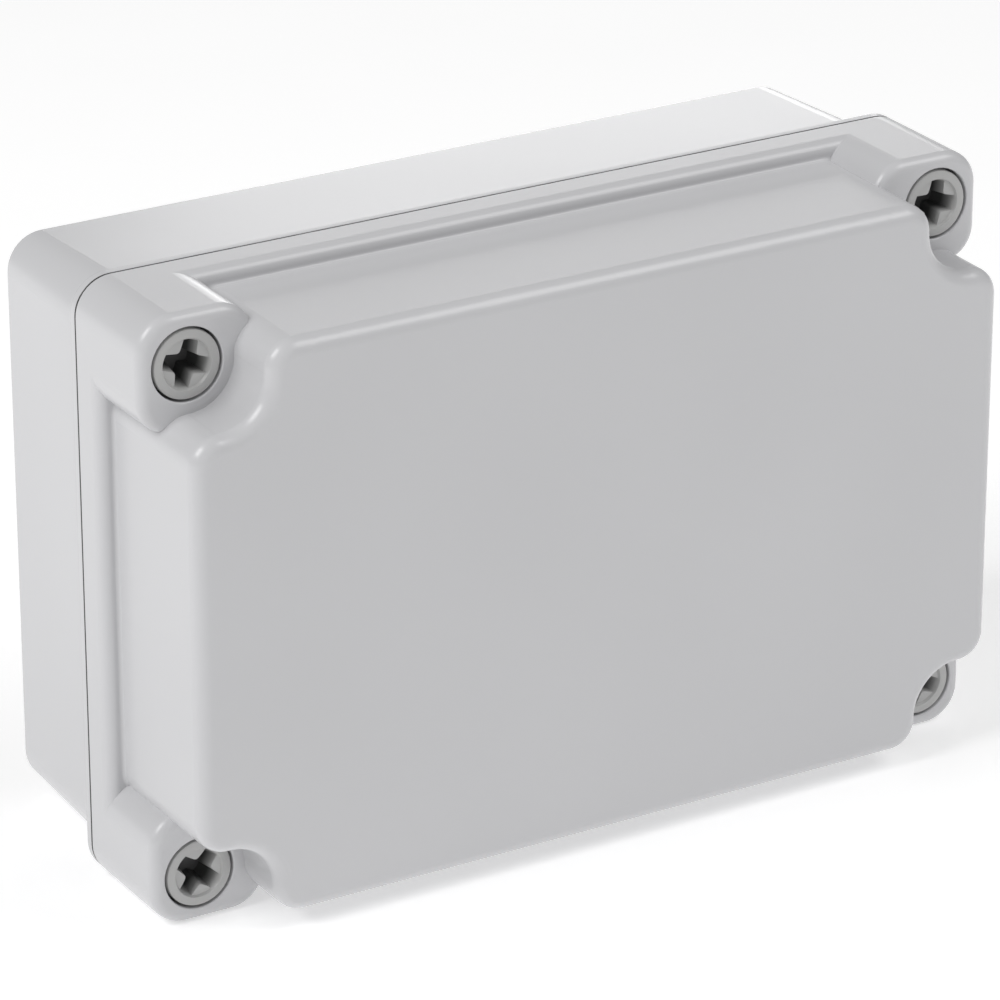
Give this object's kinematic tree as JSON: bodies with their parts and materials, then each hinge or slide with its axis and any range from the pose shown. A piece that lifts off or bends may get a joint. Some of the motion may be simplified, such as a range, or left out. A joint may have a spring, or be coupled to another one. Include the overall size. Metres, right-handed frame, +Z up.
{
  "type": "waterproof junction box",
  "caption": "Sealed plastic junction box with a deep lid: raised centre, corner posts, cross-recess lid screws, gasket and back fixing holes.",
  "frame": {"origin": "centre of the bottom side that the box stands on, midway between back and front", "axes": "+X to the right across the lid, +Y towards the back, -Y out of the lid's front, +Z up"},
  "size_m": [0.12, 0.05, 0.08],
  "materials": {
    "housing": "fine satin moulded",
    "screw_plastic": "satin",
    "seal": "matte",
    "soft_ring": "matte",
    "plug_plastic": "satin"
  },
  "bodies": {
    "base": {"base": "housing", "plug_top_left": "plug_plastic", "plug_top_right": "plug_plastic", "plug_bottom_left": "plug_plastic", "plug_bottom_right": "plug_plastic"},
    "lid": {"lid": "housing", "gasket": "seal"},
    "ring_top_left": {"ring_top_left": "soft_ring"},
    "screw_top_left": {"screw_top_left": "screw_plastic"},
    "ring_top_right": {"ring_top_right": "soft_ring"},
    "screw_top_right": {"screw_top_right": "screw_plastic"},
    "ring_bottom_left": {"ring_bottom_left": "soft_ring"},
    "screw_bottom_left": {"screw_bottom_left": "screw_plastic"},
    "ring_bottom_right": {"ring_bottom_right": "soft_ring"},
    "screw_bottom_right": {"screw_bottom_right": "screw_plastic"}
  },
  "joints": [
    {"name": "lid_lift", "type": "slide", "parent": "base", "child": "lid", "axis": [0, -1, 0], "range_m": [0, 0.06]},
    {"name": "screw_top_left_back_out", "type": "slide", "parent": "lid", "child": "ring_top_left", "axis": [0, -1, 0], "range_m": [0, 0.0075]},
    {"name": "screw_top_left_turn", "type": "hinge", "parent": "ring_top_left", "child": "screw_top_left", "pos_m": [-0.05355, -0.016, 0.07355], "axis": [0, -1, 0], "range_deg": [0, 910]},
    {"name": "screw_top_right_back_out", "type": "slide", "parent": "lid", "child": "ring_top_right", "axis": [0, -1, 0], "range_m": [0, 0.0075]},
    {"name": "screw_top_right_turn", "type": "hinge", "parent": "ring_top_right", "child": "screw_top_right", "pos_m": [0.05355, -0.016, 0.07355], "axis": [0, -1, 0], "range_deg": [0, 910]},
    {"name": "screw_bottom_left_back_out", "type": "slide", "parent": "lid", "child": "ring_bottom_left", "axis": [0, -1, 0], "range_m": [0, 0.0075]},
    {"name": "screw_bottom_left_turn", "type": "hinge", "parent": "ring_bottom_left", "child": "screw_bottom_left", "pos_m": [-0.05355, -0.016, 0.00645], "axis": [0, -1, 0], "range_deg": [0, 910]},
    {"name": "screw_bottom_right_back_out", "type": "slide", "parent": "lid", "child": "ring_bottom_right", "axis": [0, -1, 0], "range_m": [0, 0.0075]},
    {"name": "screw_bottom_right_turn", "type": "hinge", "parent": "ring_bottom_right", "child": "screw_bottom_right", "pos_m": [0.05355, -0.016, 0.00645], "axis": [0, -1, 0], "range_deg": [0, 910]}
  ],
  "couplings": [
    {"joint": "screw_top_left_turn", "follows": "screw_top_left_back_out", "rad_per_m": 2094.4},
    {"joint": "screw_top_right_turn", "follows": "screw_top_right_back_out", "rad_per_m": 2094.4},
    {"joint": "screw_bottom_left_turn", "follows": "screw_bottom_left_back_out", "rad_per_m": 2094.4},
    {"joint": "screw_bottom_right_turn", "follows": "screw_bottom_right_back_out", "rad_per_m": 2094.4}
  ]
}
